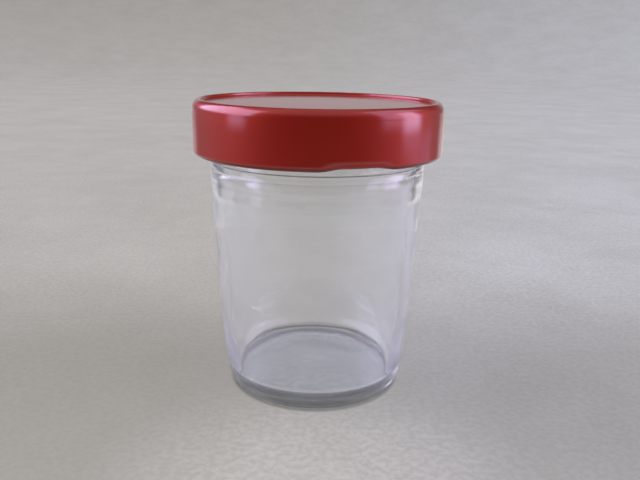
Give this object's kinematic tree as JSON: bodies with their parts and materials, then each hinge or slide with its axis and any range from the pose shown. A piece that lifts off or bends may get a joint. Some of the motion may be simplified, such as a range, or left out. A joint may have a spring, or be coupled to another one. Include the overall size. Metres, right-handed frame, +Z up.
{
  "type": "glass jar with twist-off cap",
  "caption": "Small empty tumbler-shaped clear glass jar with a thick base, closed by a wide red lacquered metal twist-off cap.",
  "frame": {"origin": "centre of the flat ring that the jar stands on", "axes": "+Z up along the jar's axis, towards the cap; -Y is the side that the picture shows"},
  "size_m": [0.051, 0.051, 0.0604],
  "materials": {
    "clear_glass": "clear, fire-polished",
    "red_lacquer": "glossy red lacquer on tinplate",
    "sealing_compound": "soft matt compound"
  },
  "bodies": {
    "root": {"jar": "clear_glass", "cap": "red_lacquer", "cap_liner": "sealing_compound"}
  },
  "joints": []
}
